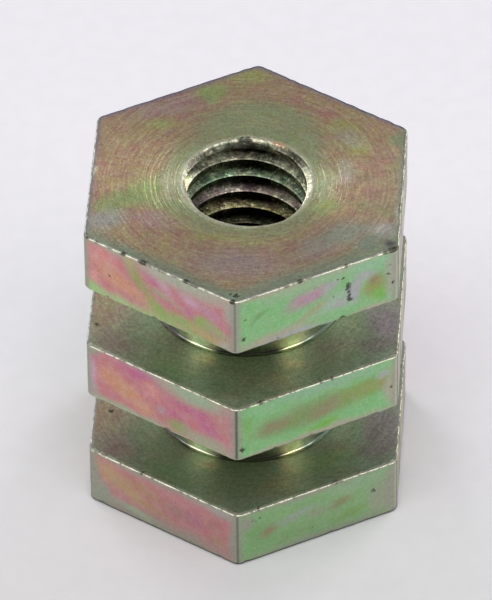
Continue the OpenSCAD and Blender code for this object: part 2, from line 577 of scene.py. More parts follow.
sliver_chance = np.random.default_rng(seed=5)
for each_flange in range(FLANGE_COUNT):
    bands = [(place, 0, *BAND_SIZE, 0, tint) for place, tint in SLIVER_BANDS]
    PATCHES[each_flange, RIGHT] = bands + hidden_patches(RIGHT, sliver_chance)
    for each_side in (BACK_RIGHT, BACK_LEFT, LEFT):
        PATCHES[each_flange, each_side] = hidden_patches(each_side, random)

# Colours of the film on the end faces, and its patches by place from the axis: along is +X and up is +Y
BROWN = (0.52, 0.37, 0.235)
PLUM = (0.53, 0.36, 0.32)
DRAB = (0.50, 0.48, 0.21)
WEED = (0.43, 0.54, 0.21)
RING = (0.42, 0.45, 0.25)
STONE = (0.57, 0.55, 0.50)
# Border along each side of the top face: tint, share, width and softness
BACK_BORDER = ((0.30, 0.26, 0.38), 0.7, 0.3, 0.1)
FRONT_BORDER = (0.31, 0.41, 0.29)
BORDERS = {
    RIGHT: (FRONT_BORDER, 0.8, 0.35, 0.2),
    BACK_RIGHT: BACK_BORDER,
    BACK_LEFT: BACK_BORDER,
    LEFT: BACK_BORDER,
    FRONT_LEFT: (FRONT_BORDER, 0.8, 0.9, 0.2),
    FRONT_RIGHT: (FRONT_BORDER, 0.8, 1.15, 0.2),
}
# The greener film round the hole reaches further back: centre and radius of both its rounds
RING_ROUNDS = [(0, 0, 6.1), (0.5, 4.2, 4.6)]
RING_SOFTNESS = 0.35
# How strong the patches are, and how much weaker in that ring
TOP_STRENGTH = 0.9
RING_LOSS = 0.3
TOP_PATCHES = [
    (-9, 2.2, 2.6, 3.2, 0, (0.56, 0.40, 0.25)),
    (-6, 7.8, 3.2, 1.2, 25, PLUM),
    (-6.7, 5.7, 1.8, 0.7, 10, DRAB),
    (-3, 9.5, 1.1, 1, 0, WEED),
    (-0.6, 11.4, 1.6, 0.9, 0, DRAB),
    (3.4, 9.2, 2.4, 1.2, -28, (0.54, 0.38, 0.25)),
    (5.2, 7.6, 1, 0.7, -28, (0.58, 0.36, 0.26)),
    (6.6, 6.1, 1.3, 0.9, -25, DRAB),
    (7.6, 4.2, 1.2, 1.2, 0, (0.50, 0.45, 0.19)),
    (9.4, 3.4, 1, 1.3, 0, (0.53, 0.38, 0.26)),
    (10.4, 5.2, 0.6, 0.8, 0, (0.38, 0.40, 0.22)),
    (9.2, 0.6, 1.6, 1.9, 0, (0.51, 0.36, 0.25)),
    (7, 5, 1.2, 0.9, -25, (0.52, 0.48, 0.35)),
    (6.9, 1.4, 0.7, 1.5, 0, (0.54, 0.48, 0.38)),
    (9.2, -2.2, 1.3, 1, 0, (0.45, 0.40, 0.24)),
    (-8.5, -2.4, 2.6, 0.95, 29, (0.36, 0.44, 0.19)),
    (-6.7, -0.9, 1.2, 1.4, 0, (0.40, 0.48, 0.20)),
    (-5.5, -2.9, 1.6, 0.8, -20, (0.40, 0.47, 0.22)),
    (-6.3, -4.3, 1.6, 0.9, -15, PLUM),
    (-9.6, -4.5, 1.6, 1, 25, (0.50, 0.50, 0.45)),
    (-1, -6, 2.6, 0.6, -5, DRAB),
    (0, -8.6, 3.4, 1.5, 0, (0.50, 0.39, 0.35)),
    (5.2, -6.8, 1.8, 1, 28, (0.46, 0.38, 0.33)),
    (5.6, -2.2, 1, 0.7, 40, WEED),
    (7.2, -5, 2.2, 1.2, 25, (0.42, 0.46, 0.36)),
    (9.9, -4.6, 1, 1, 0, STONE),
    (9, -5.9, 1.4, 0.6, 28, (0.38, 0.43, 0.32)),
    # The last two are painted highlights beside the hole, where the turning rings catch the light
    (-5.5, -0.3, 0.7, 1.5, 0, (0.62, 0.62, 0.42)),
    (5.6, 0.2, 0.7, 1.5, 0, (0.61, 0.62, 0.38)),
]
# Small marks on the top face: painted glints along its edges and a dark bruise at a corner
TOP_MARKS = [
    (10.75, -2.5, 0.22, 0.4, 0, CREAM),
    (10.8, -3.6, 0.18, 0.5, 0, CREAM),
    (-10.8, 0.6, 0.2, 0.45, 0, CREAM),
    (10.45, -5.95, 0.45, 0.35, 25, (0.17, 0.15, 0.15)),
]

# Colours of the film in the grooves, a painted shade on the lower floor, and the patches on both of the
# floors that face up
FLOOR_OLIVE = (0.38, 0.44, 0.32)
LOWER_FLOOR_SHADE = 0.84
# Distances from the axis, and how light the floors are painted there: painted light near the core, painted
# shade further out
FLOOR_LIGHT = [(7, 1.3), (8.4, 1.08), (10, 0.95)]
GROOVE_PATCHES = [
    (-10.5, -2, 2.6, 3.6, 0, (0.49, 0.37, 0.27)),
    (-8.8, -6, 1.6, 1.2, -20, (0.40, 0.31, 0.28)),
    (-6.6, -5.2, 1.4, 1.2, 0, (0.37, 0.44, 0.31)),
    (-5, -8.4, 1.6, 0.8, -25, (0.38, 0.50, 0.30)),
    # The next two are painted reflections of the bright stretches at the core's foot
    (-2.5, -7.5, 0.7, 0.5, 0, (0.55, 0.50, 0.32)),
    (3.6, -7.5, 0.7, 0.5, 0, (0.55, 0.49, 0.32)),
    (2.8, -9.2, 1.2, 0.8, 20, (0.48, 0.46, 0.30)),
    (6.4, -5.6, 1.4, 1, 30, (0.42, 0.40, 0.32)),
    (10, -3, 1.3, 2.2, 10, (0.42, 0.35, 0.38)),
    (9.4, -5.4, 1.2, 0.8, 20, (0.36, 0.32, 0.30)),
    (7.6, -2.4, 1, 1.2, 0, (0.38, 0.44, 0.31)),
]
# What the lower of these floors has besides
LOWER_GROOVE_PATCHES = [
    (6, -6.6, 2.2, 1.1, 28, (0.34, 0.46, 0.26)),
    (9.8, -3.4, 1.2, 2, 10, (0.40, 0.36, 0.34)),
]

# Slow waves that make the patches' borders wander: largest wave number per millimetre and largest phase
WANDER_SIZE = 0.13
WAVE_COUNT = 16
LARGEST_WAVE = 2.6
LARGEST_PHASE = 6.28


def random_wave():
    """Two wave numbers, along and up, and a phase."""
    numbers = [random.uniform(-LARGEST_WAVE, LARGEST_WAVE) for _ in range(2)]
    return (*numbers, random.uniform(0, LARGEST_PHASE))


WAVES = [random_wave() for _ in range(WAVE_COUNT)]


def wander(along, up):
    """Moves places a little, by smooth waves, so that no patch stays a plain oval."""
    half = len(WAVES) // 2
    moves = []
    for waves in (WAVES[:half], WAVES[half:]):
        moves.append(sum(np.sin(a * along + b * up + phase) for a, b, phase in waves))
    return along + WANDER_SIZE * moves[0] / sqrt(half), up + WANDER_SIZE * moves[1] / sqrt(half)


def blend(tints, tint, weight):
    return tints + (np.array(tint) - tints) * np.reshape(weight, (-1, 1))


# Largest power of e that a soft step needs, and how sharply a patch ends
LARGEST_POWER = 50
PATCH_SHARPNESS = 1.6


def inside(distance, limit, softness):
    """1 where a distance is under a limit and 0 beyond it, with a soft step."""
    return 1 / (1 + np.exp(np.clip((distance - limit) / softness, -LARGEST_POWER, LARGEST_POWER)))


def painted(tints, patch, along, up, share=1):
    """Tints of a row of places, with a share of a patch laid over them."""
    patch_along, patch_up, length, width, tilt, tint = patch
    turn = radians(tilt)
    away_along, away_up = along - patch_along, up - patch_up
    long_way = (away_along * cos(turn) + away_up * sin(turn)) / length
    short_way = (away_up * cos(turn) - away_along * sin(turn)) / width
    return blend(tints, tint, share * np.exp(-(long_way ** 2 + short_way ** 2) ** PATCH_SHARPNESS))


# Lines down the upright corners: the side before the corner, flanges, way past its middle, width, tint
Line = namedtuple("Line", "side flanges past width tint strength")
CORNER_LINES = [
    Line(FRONT_LEFT, (TOP,), -0.02, 0.07, SOOT_AND_SHADE, 0.55),
    Line(FRONT_LEFT, (MIDDLE,), 0, 0.09, SOOT_AND_SHADE, 0.9),
    Line(FRONT_LEFT, (BOTTOM,), 0, 0.06, SOOT_AND_SHADE, 0.8),
    # The cream line is a painted highlight down the rounded front corner
    Line(FRONT_RIGHT, (BOTTOM, MIDDLE, TOP), -0.05, 0.08, CREAM, 0.45),
    Line(FRONT_RIGHT, (BOTTOM, MIDDLE, TOP), 0.2, 0.1, SOOT_AND_SHADE, 0.8),
    Line(LEFT, (BOTTOM, MIDDLE, TOP), -0.1, 0.22, (0.26, 0.29, 0.18), 0.7),
]
# Way along a side that stands for another side
ELSEWHERE = -99
# Each flange has its own stretch of the waves, this far from the next
WANDER_STEP = 3
# Grey margin at both ends of a flat: where it starts, how soft it is, and its share
MARGIN_START, MARGIN_SOFTNESS, MARGIN_SHARE = 5.92, 0.06, 0.8


def flat_tint(flange, up):
    """Film of a row of columns at a height above the middle of a flange, with lines down the corners, one of
    them a painted highlight.
    """
    tints = np.array([SIDE_TINT[side] for side in columns.side])
    offset = WANDER_STEP * flange
    along, height = wander(columns.along + offset, up + columns.side)
    along, height = along - offset, height - columns.side
    for (on_flange, side), patches in PATCHES.items():
        if on_flange == flange:
            for patch in patches:
                tints = painted(tints, patch, along, height, columns.side == side)
    margin = inside(MARGIN_START - np.abs(columns.along), 0, MARGIN_SOFTNESS)
    tints = blend(tints, ASH, margin * MARGIN_SHARE)
    for line in CORNER_LINES:
        if flange in line.flanges:
            next_side = (line.side + 1) % SIDES
            before = np.where(columns.side == line.side, columns.along - HALF_SIDE, ELSEWHERE)
            after = np.where(columns.side == next_side, columns.along + HALF_SIDE, ELSEWHERE)
            away = np.minimum(np.abs(before - line.past), np.abs(after - line.past))
            tints = blend(tints, line.tint, line.strength * np.exp(-(away / line.width) ** 2))
    return tints


# Sides whose upper edges are rubbed bare, those of the two front sides also painted nearly white as a
# highlight; the tint of the other upper edges by flange; and a painted contact shadow along the edge of the
# foot
BARE_AND_HIGHLIT_SIDES = {
    LEFT: (0.36, 0.36, 0.32),
    FRONT_LEFT: (0.96, 0.94, 0.74),
    FRONT_RIGHT: (0.96, 0.94, 0.74),
    RIGHT: (0.42, 0.41, 0.30),
}
DULL_EDGE = {BOTTOM: (0.20, 0.19, 0.17), MIDDLE: (0.20, 0.19, 0.17), TOP: (0.19, 0.19, 0.27)}
CONTACT_SHADOW_EDGE = (0.06, 0.065, 0.05)
CONTACT_SHADOW_SHARE = 0.85
# Tint of the lower edges where it isn't the usual grey, and its share over the film
LIP_TINT = {FRONT_LEFT: (0.50, 0.66, 0.38)}
LIP_SHARE = 0.5
# Dirt in the knocks: it grows by this depth of a knock, from a share of that depth, up to a limit
DIRT_DEPTH, DIRT_START, DIRT_LIMIT = 0.09, 0.25, 0.95


def edge_tint(row, up):
    """Bare metal along the upper edges, painted nearly white as a highlight at the front, duller along the
    lower ones, with a painted contact shadow along the foot, dark where knocked in.
    """
    if row.upper:
        tints = np.array([BARE_AND_HIGHLIT_SIDES.get(side, DULL_EDGE[row.flange]) for side in columns.side])
    elif row.flange == BOTTOM:
        tints = blend(flat_tint(row.flange, up), CONTACT_SHADOW_EDGE, CONTACT_SHADOW_SHARE)
    else:
        lips = [LIP_TINT.get(side, ASH) for side in columns.side]
        tints = blend(flat_tint(row.flange, up), lips, LIP_SHARE)
    return blend(tints, SOOT_AND_SHADE, np.clip(row.knocks / DIRT_DEPTH - DIRT_START, 0, DIRT_LIMIT))


def side_distance(x, y, side):
    """Distance inwards from the plane of one flat."""
    turn = side * SIDE_TURN
    return FLAT_RADIUS - x * cos(turn) - y * sin(turn)


def turned_tint(x, y, flange):
    """Film of the two end faces: the top one as in the photograph, with painted highlights beside its hole
    and painted glints on its edges.
    """
    rounds = [inside(np.hypot(x - a, y - b), size, RING_SOFTNESS) for a, b, size in RING_ROUNDS]
    ring = np.max(rounds, axis=0)
    tints = blend(np.full((COLUMN_COUNT, 3), BROWN), RING, ring)
    if flange == TOP:
        along, up = wander(x, y)
        for patch in TOP_PATCHES:
            tints = painted(tints, patch, along, up, TOP_STRENGTH - RING_LOSS * ring)
        for side, (tint, share, width, softness) in BORDERS.items():
            tints = blend(tints, tint, share * inside(side_distance(x, y, side), width, softness))
        for mark in TOP_MARKS:
            tints = painted(tints, mark, along, up)
    return tints


def groove_tint(x, y, flange):
    along, up = wander(x, y)
    tints = np.full((COLUMN_COUNT, 3), FLOOR_OLIVE)
    for patch in GROOVE_PATCHES + (LOWER_GROOVE_PATCHES if flange == BOTTOM else []):
        tints = painted(tints, patch, along, up)
    light = np.interp(np.hypot(x, y), *zip(*FLOOR_LIGHT))
    return tints * light[:, None] * (LOWER_FLOOR_SHADE if flange == BOTTOM else 1)


# Film on the core, and on its foot, painted darker in front as shade but for some painted highlights:
# their azimuth from the front in degrees, half width and tint
CORE_TINT = (0.72, 0.76, 0.56)
FOOT_SHADE = (0.21, 0.22, 0.15)
FOOT_HEIGHT = 1.1
FOOT_AZIMUTH, FOOT_SOFTNESS = 85, 5
FOOT_HIGHLIGHTS = [
    (-58, 18, (0.52, 0.52, 0.48)),
    (-24, 11, (0.92, 0.94, 0.62)),
    (54, 18, (0.52, 0.60, 0.48)),
    (31, 9, (0.94, 0.92, 0.50)),
]
# Painted shade on the rounded corner below the foot, up to a height, with its own painted highlights
CORNER_SHADE = (0.10, 0.11, 0.08)
CORNER_HEIGHT = 0.24
CORNER_HIGHLIGHTS = [
    (-54, 17, (0.34, 0.34, 0.33)),
    (-25, 9, (0.98, 1, 0.68)),
    (55, 18, (0.48, 0.60, 0.46)),
    (31, 7, (1, 0.98, 0.55)),
]


def lit_stretches(azimuth, base, lights):
    tints = np.full((COLUMN_COUNT, 3), base)
    for place, width, tint in lights:
        tints = blend(tints, tint, np.exp(-((azimuth - place) / width) ** 4))
    return tints


def core_tint(x, y, above_floor):
    azimuth = np.degrees(np.arctan2(x, -y))
    front = inside(np.abs(azimuth), FOOT_AZIMUTH, FOOT_SOFTNESS)
    foot = lit_stretches(azimuth, FOOT_SHADE, FOOT_HIGHLIGHTS)
    tints = blend(np.array(CORE_TINT), foot, front * np.exp(-(above_floor / FOOT_HEIGHT) ** 2))
    corner = lit_stretches(azimuth, CORNER_SHADE, CORNER_HIGHLIGHTS)
    return blend(tints, corner, front * np.exp(-(above_floor / CORNER_HEIGHT) ** 4))


def tint_of_row(row):
    x, y, z = row.ring.T
    up = z - row.flange * FLANGE_SPACING - FLANGE_THICKNESS / 2
    if row.zone == FLAT:
        return flat_tint(row.flange, up)
    if row.zone == EDGE:
        return edge_tint(row, up)
    if row.zone == TURNED:
        return turned_tint(x, y, row.flange)
    if row.zone == GROOVE:
        return groove_tint(x, y, row.flange)
    return core_tint(x, y, up - FLANGE_THICKNESS / 2)


def edge_distance(row):
    """How far each point of a row is from the nearest edge of its flat or face."""
    x, y, z = row.ring.T
    if row.zone == FLAT:
        up = z - row.flange * FLANGE_SPACING
        return np.minimum(up, FLANGE_THICKNESS - up)
    return np.min([side_distance(x, y, side) for side in range(SIDES)], axis=0)


# Film in the hole by depth, painted dark at the last depth as shade deep in the bore,
# and the painted light and shade across a turn: above its crest, at the back, at the sides
HOLE_DEPTHS = [1.4, 2.9, 4.4, 5.9, 6.6]
HOLE_TINTS = [
    (0.33, 0.33, 0.23),
    (0.25, 0.33, 0.20),
    (0.33, 0.27, 0.24),
    (0.33, 0.28, 0.15),
    (0.05, 0.05, 0.03),
]
TURN_LIGHT = [
    (0, 0.12, 1.5),
    (CREST - CREST_LINE, 0.15, 1.6),
    (CREST, 0.6, 3.2),
    (CREST + CREST_LINE, 0.22, 1.2),
    (CREST + FLANK_HEIGHT / 2, 0.24, 1.4),
    (CREST + FLANK_HEIGHT, 0.4, 2.2),
    (THREAD_PITCH, 0.12, 1.0),
]
# The back of the hole, straight across from the front, is shaded
SHADED_ANGLE, SHADED_WIDTH = radians(84), radians(28)
# Film on the bevel of the mouth, painted light as a highlight round its rim
MOUTH_TINT = (0.74, 0.73, 0.52)
# Glints and a duller stretch in the hole: angle and half width in degrees, depth and half height, tint
GLINTS = [
    (2, 24, 0.1, 0.3, (0.56, 0.55, 0.41)),
    (63, 7, 0, 0.13, (0.86, 0.56, 0.34)),
    (168, 11, 1.25, 0.42, (0.88, 0.92, 0.50)),
]


def hole_tint(hole):
    depth = NUT_HEIGHT - hole.points[..., 2]
    tints = np.stack([np.interp(depth, HOLE_DEPTHS, channel) for channel in zip(*HOLE_TINTS)], axis=-1)
    back = np.exp(-((hole.angle - SHADED_ANGLE) / SHADED_WIDTH) ** 2)
    places, back_light, side_light = zip(*TURN_LIGHT)
    light = back * np.interp(hole.above, places, back_light)
    light += (1 - back) * np.interp(hole.above, places, side_light)
    tints = np.where(hole.in_mouth[..., None], MOUTH_TINT, tints * light[..., None]).reshape(-1, 3)
    for angle, width, place, height, tint in GLINTS:
        across = ((hole.angle - radians(angle)) / radians(width)) ** 4
        weight = np.exp(-across - ((depth - place) / height) ** 4)
        tints = blend(tints, tint, weight.ravel())
    return tints


def linked(name, data):
    """A new object in the scene."""
    thing = bpy.data.objects.new(name, data)
    bpy.context.scene.collection.objects.link(thing)
    return thing


def make_nut(materials):
    rows = skin_rows()
    hole = hole_grid()
    faces, zones = nut_faces([row.zone for row in rows], hole)
    points = np.concatenate([row.ring for row in rows] + [hole.points.reshape(-1, 3)])
    tints = np.concatenate([tint_of_row(row) for row in rows] + [hole_tint(hole)])
    rims = np.concatenate([edge_distance(row) for row in rows] + [np.full(hole.above.size, FLAT_RADIUS)])

    used = np.unique(np.concatenate([np.array(face) for face in faces]))
    renumber = np.full(len(points), -1)
    renumber[used] = np.arange(len(used))
    faces = [[int(renumber[corner]) for corner in face] for face in faces]
    mesh = bpy.data.meshes.new("plated_nut")
    mesh.from_pydata((points[used] * MM).tolist(), [], faces)
    mesh.polygons.foreach_set("use_smooth", [True] * len(faces))
    mesh.polygons.foreach_set("material_index", zones)
    mesh.set_sharp_from_angle(angle=SHARP_ANGLE)
    colours = np.column_stack([tints[used], np.ones(len(used))])
    mesh.attributes.new("tint", "FLOAT_COLOR", "POINT").data.foreach_set("color", colours.ravel())
    mesh.attributes.new("rim", "FLOAT", "POINT").data.foreach_set("value", rims[used])
    for material in materials:
        mesh.materials.append(material)
    return linked("plated_nut", mesh)


# Pits that the photograph shows on the flats: place along the flat and up from its middle, and size
PITS_ON_FLATS = {
    (TOP, FRONT_RIGHT): [
        (2.4, 0.55, 0.24), (2.42, 0.25, 0.22), (2.46, -0.1, 0.17), (2.5, -0.4, 0.18),
        (2.58, -0.8, 0.24), (2, 1.4, 0.1), (1.55, 1.45, 0.08), (5.55, 0.35, 0.13),
        (5.92, -0.62, 0.15), (5.7, 1.15, 0.1), (-5.58, 0.52, 0.11), (-5.67, -1.23, 0.18),
    ],
    (TOP, FRONT_LEFT): [(-4.17, -0.2, 0.10)],
    (MIDDLE, FRONT_RIGHT): [(-5.88, -1.47, 0.22), (5.8, -0.3, 0.14)],
    (BOTTOM, FRONT_RIGHT): [(-5.2, 1.5, 0.11), (-4.87, 1.43, 0.12), (-4.6, 1.5, 0.11), (4.4, 0.4, 0.2)],
}


def flat_pit(flange, side, along, up, size):
    turn = side * SIDE_TURN
    x = FLAT_RADIUS * cos(turn) - along * sin(turn)
    y = FLAT_RADIUS * sin(turn) + along * cos(turn)
    return x, y, flange * FLANGE_SPACING + FLANGE_THICKNESS / 2 + up, size


# All pits by their place in the nut's frame, and size
FLAT_PITS = [flat_pit(*flat, *pit) for flat, pits in PITS_ON_FLATS.items() for pit in pits]
FACE_PITS = [(0.05, -11.9, NUT_HEIGHT, 0.26), (-0.4, -11.75, NUT_HEIGHT, 0.12)]
# Spots at the notch in the top mouth's rim: dents that are painted dark as the notch's shade
NOTCH_PITS_AND_SHADE = [(-0.6, 4.5, NUT_HEIGHT, 0.42), (-0.26, 4.52, NUT_HEIGHT, 0.42)]
GROOVE_PITS = [
    (-9.75, -2.26, FLANGE_THICKNESS, 0.22),
    (-10.4, -4.2, FLANGE_SPACING + FLANGE_THICKNESS, 0.18),
]
# Shares of a pit's size where it is full and where it ends, how ragged it is, and how dark; at the notch the
# dark is painted shade
PIT_FULL, PIT_END = 0.5, 1.1
PIT_RAGGED = 0.12
PIT_DARKNESS = 0.85
NOTCH_DARKNESS = 0.9


# Materials

# Ranges of a noise that are spread over the whole of what it changes
WIDE = (0.2, 0.8)
MEDIUM = (0.25, 0.75)
NARROW = (0.3, 0.7)


class Nodes:
    """Adds nodes to a tree. Its place is the point on the object, in metres."""

    def __init__(self, tree):
        self.tree = tree
        self.coordinates = self.put("ShaderNodeTexCoord").outputs
        self.place = self.coordinates["Object"]

    def give(self, socket, value):
        """Links an input to an output, or sets its number, vector or colour."""
        if isinstance(value, bpy.types.NodeSocket):
            self.tree.links.new(value, socket)
        elif socket.type == "RGBA":
            socket.default_value = (*value, 1)
        else:
            socket.default_value = value

    def put(self, kind, inputs=None, **settings):
        """Adds a node with its settings and inputs."""
        node = self.tree.nodes.new(kind)
        for name, value in settings.items():
            setattr(node, name, value)
        for name, value in (inputs or {}).items():
            self.give(node.inputs[name], value)
        return node

    def sums(self, operation, first, second=0, third=0.0):
        return self.put("ShaderNodeMath", {0: first, 1: second, 2: third}, operation=operation).outputs[0]

    def vector(self, operation, inputs, output="Vector"):
        return self.put("ShaderNodeVectorMath", inputs, operation=operation).outputs[output]

    def stretched(self, place, scales):
        return self.vector("MULTIPLY", {0: place, 1: scales})

    def scaled(self, colour, factor):
        return self.vector("SCALE", {0: colour, 3: factor})

    def axes(self, place):
        return self.put("ShaderNodeSeparateXYZ", {0: place}).outputs

    def remap(self, value, old, new):
        """Maps a range of values smoothly to another range, held at its ends."""
        inputs = {"Value": value, "From Min": old[0], "From Max": old[1], "To Min": new[0], "To Max": new[1]}
        return self.put("ShaderNodeMapRange", inputs, interpolation_type="SMOOTHSTEP").outputs[0]

    def mix(self, factor, first, second):
        """Mixes two colours."""
        return self.put("ShaderNodeMix", {0: factor, 6: first, 7: second}, data_type="RGBA").outputs[2]

    def speckle(self, size, detail=3, roughness=0.55, place=None):
        """Noise from 0 to 1 with blotches of about a size in millimetres."""
        inputs = {"Vector": place or self.place, "Scale": 1 / (size * MM)}
        inputs.update({"Detail": detail, "Roughness": roughness})
        return self.put("ShaderNodeTexNoise", inputs).outputs["Fac"]

    def mottle(self, size, low, high):
        """Numbers between two limits, in blotches of about a size."""
        return self.remap(self.speckle(size), WIDE, (low, high))


class Surface(Nodes):
    """The nodes of a new material, with what all the plated metals share."""

    def __init__(self, name):
        self.material = bpy.data.materials.new(name)
        self.material.use_nodes = True
        super().__init__(self.material.node_tree)

    def shade(self, inputs):
        """Sets inputs of the material's shader."""
        shader = self.tree.nodes["Principled BSDF"]
        for name, value in inputs.items():
            self.give(shader.inputs[name], value)

    def finish_metal(self, colour, roughness, height, distance):
        """Makes it metal, with bumps of a distance in millimetres for each 1 of their height."""
        bump = self.put("ShaderNodeBump", {"Height": height, "Distance": distance * MM, "Strength": 1.0})
        self.shade({"Metallic": 1, "Base Color": colour, "Roughness": roughness, "Normal": bump.outputs[0]})
        return self.material

    def attribute(self, name, output):
        return self.put("ShaderNodeAttribute", attribute_name=name).outputs[output]

    def film_colour(self, hue_play, value_play, pattern=None):
        """The painted film, drifting in hue over blotches and in value over a fine mottle."""
        drift = self.speckle(1.1) if pattern is None else pattern
        inputs = {
            "Color": self.attribute("tint", "Color"),
            "Hue": self.remap(drift, (0.28, 0.72), (0.5 - hue_play, 0.5 + hue_play)),
            "Saturation": self.remap(self.speckle(0.7), MEDIUM, (0.9, 1.1)),
            "Value": self.remap(self.speckle(0.3), MEDIUM, (1 - value_play, 1 + value_play)),
        }
        return self.put("ShaderNodeHueSaturation", inputs).outputs["Color"]

    def grained(self, colour, amount, specks=0.75):
        """Fine light and dark grain over a colour, with a few dark specks."""
        grain = self.remap(self.speckle(0.13, 2.0), MEDIUM, (1 - amount, 1 + amount))
        dark = self.remap(self.speckle(0.45, 4, 0.7), (0.66, 0.74), (0, specks))
        return self.mix(dark, self.scaled(colour, grain), SOOT_AND_SHADE)

    def bordered(self, colour, tint, width, share):
        """A border of a tint along the edges: where it starts to fade and where it ends, and its share."""
        return self.mix(self.remap(self.attribute("rim", "Fac"), width, (share, 0)), colour, tint)

    def pitted(self, pits):
        """1 inside the pits and 0 outside them, with ragged borders."""
        ragged = self.speckle(0.25, 4, 0.7)
        ragged = self.remap(ragged, NARROW, (-PIT_RAGGED * MM, PIT_RAGGED * MM))
        total = 0.0
        for x, y, z, size in pits:
            away = self.vector("DISTANCE", {0: self.place, 1: (x * MM, y * MM, z * MM)}, "Value")
            limits = size * PIT_FULL * MM, size * PIT_END * MM
            here = self.remap(self.sums("ADD", away, ragged), limits, (1, 0))
            total = self.sums("MAXIMUM", here, total)
        return total

    def darkened(self, colour, pits, darkness):
        return self.mix(self.sums("MULTIPLY", pits, darkness), colour, SOOT_AND_SHADE)


def drawn_flat():
    """A flat of the bar, with upright drawing lines."""
    flat = Surface("drawn_flat")
    colour = flat.grained(flat.film_colour(hue_play=0.008, value_play=0.05), amount=0.08)
    colour = flat.bordered(colour, BEIGE, (0.08, 0.24), 0.15)
    pits = flat.pitted(FLAT_PITS)
    colour = flat.darkened(colour, pits, PIT_DARKNESS)
    lines = flat.speckle(0.15, 2, place=flat.stretched(flat.place, (1, 1, 0.08)))
    height = flat.sums("ADD", flat.speckle(0.25), lines)
    height = flat.sums("MULTIPLY_ADD", pits, -6, height)
    return flat.finish_metal(colour, flat.mottle(0.9, 0.33, 0.46), height, 0.006)


def ring_noise(face, radius, spacing):
    inputs = {"W": radius, "Scale": 1 / (spacing * MM), "Detail": 1.0}
    return face.put("ShaderNodeTexNoise", inputs, noise_dimensions="1D").outputs["Fac"]


def turning_streaks(face, flat_place, radius, spacing, arc):
    """Noise drawn out into arcs round the axis: spacing in millimetres, arc in radians."""
    way_round = face.vector("NORMALIZE", {0: flat_place})
    spread = face.stretched(way_round, (1 / arc, 1 / arc, 0))
    outwards = face.put("ShaderNodeCombineXYZ", {"Z": face.sums("DIVIDE", radius, spacing * MM)})
    both = face.vector("ADD", {0: spread, 1: outwards.outputs[0]})
    return face.put("ShaderNodeTexNoise", {"Vector": both, "Scale": 1, "Detail": 3.0}).outputs["Fac"]


# Tint along the edges of a turned face, how much its streaks shade it, and the radii between which its
# rings and streaks get shallower
FACE_RIM = (0.24, 0.25, 0.31)
STREAK_SHADE = 0.10
RING_RADII = (6.0 * MM, 8.5 * MM)


def turned_metal(name, pits, hue_play, value_play, grain, ring_spacing, ring_height, roughness):
    """A face off the lathe: film in drawn out arcs over fine rings."""
    face = Surface(name)
    flat_place = face.stretched(face.place, (1, 1, 0))
    radius = face.vector("LENGTH", {0: flat_place}, "Value")
    rings = ring_noise(face, radius, ring_spacing)
    streaks = turning_streaks(face, flat_place, radius, spacing=0.14, arc=0.25)
    blotches = face.sums("MULTIPLY", face.speckle(1.2, 4, 0.6), 0.55)
    pattern = face.sums("MULTIPLY_ADD", streaks, 0.45, blotches)
    colour = face.grained(face.film_colour(hue_play, value_play, pattern), grain)
    colour = face.scaled(colour, face.remap(streaks, MEDIUM, (1 - STREAK_SHADE, 1 + STREAK_SHADE)))
    colour = face.bordered(colour, FACE_RIM, (0.1, 0.3), 0.5)
    dark = face.pitted(pits)
    colour = face.darkened(colour, dark, PIT_DARKNESS)
    strength = face.remap(radius, RING_RADII, (1, 0.2))
    height = face.sums("MULTIPLY", face.sums("MULTIPLY_ADD", streaks, 0.7, rings), strength)
    height = face.sums("MULTIPLY_ADD", face.speckle(0.2), 0.6, height)
    height = face.sums("MULTIPLY_ADD", dark, -3, height)
    tangent = face.put("ShaderNodeTangent", direction_type="RADIAL", axis="Z").outputs[0]
    face.shade({"Anisotropic": 0.6, "Anisotropic Rotation": 0.25, "Tangent": tangent})
    return face.finish_metal(colour, face.mottle(0.8, *roughness), height, ring_height)


def turned_face():
    return turned_metal(
        "turned_face", FACE_PITS + NOTCH_PITS_AND_SHADE, hue_play=0.055, value_play=0.12, grain=0.16,
        ring_spacing=0.26, ring_height=0.040, roughness=(0.26, 0.38),
    )


def groove_face():
    return turned_metal(
        "groove_face", GROOVE_PITS, hue_play=0.07, value_play=0.15, grain=0.15,
        ring_spacing=0.16, ring_height=0.012, roughness=(0.34, 0.48),
    )


WORN_DIRT = (0.16, 0.16, 0.12)


def worn_and_highlit_edge():
    """A rounded edge, shiny where it is rubbed and dull between; its tint holds the painted highlights and
    painted contact shadow.
    """
    edge = Surface("worn_and_highlit_edge")
    worn = edge.speckle(0.5, 4, 0.65)
    colour = edge.grained(edge.film_colour(hue_play=0.02, value_play=0.12), amount=0.15)
    colour = edge.mix(edge.remap(worn, (0.39, 0.51), (0.75, 0)), colour, WORN_DIRT)
    roughness = edge.remap(worn, (0.35, 0.6), (0.45, 0.25))
    return edge.finish_metal(colour, roughness, edge.speckle(0.15), 0.008)


def turned_core():
    """The core in the grooves, smoother than the rest, with fine lines round it."""
    core = Surface("turned_core")
    colour = core.grained(core.film_colour(hue_play=0.05, value_play=0.1), amount=0.1, specks=0.4)
    lines = core.speckle(0.1, 2, place=core.stretched(core.place, (0.1, 0.1, 1)))
    return core.finish_metal(colour, core.mottle(0.8, 0.10, 0.20), lines, 0.004)


# Painted shade darkens the bevel at the back of the mouth below its rim, between two depths. The turns start
# between two others. The front and sides keep more of their light, up to two distances behind the axis.
MOUTH_SHADE = 0.32
RIM_LEVELS = [(NUT_HEIGHT - depth) * MM for depth in (0.16, 0.06)]
TURN_LEVELS = [(NUT_HEIGHT - depth) * MM for depth in (0.6, 0.4)]
SIDE_SHADE = 0.9
SIDE_REACH = (2.0 * MM, 3.6 * MM)


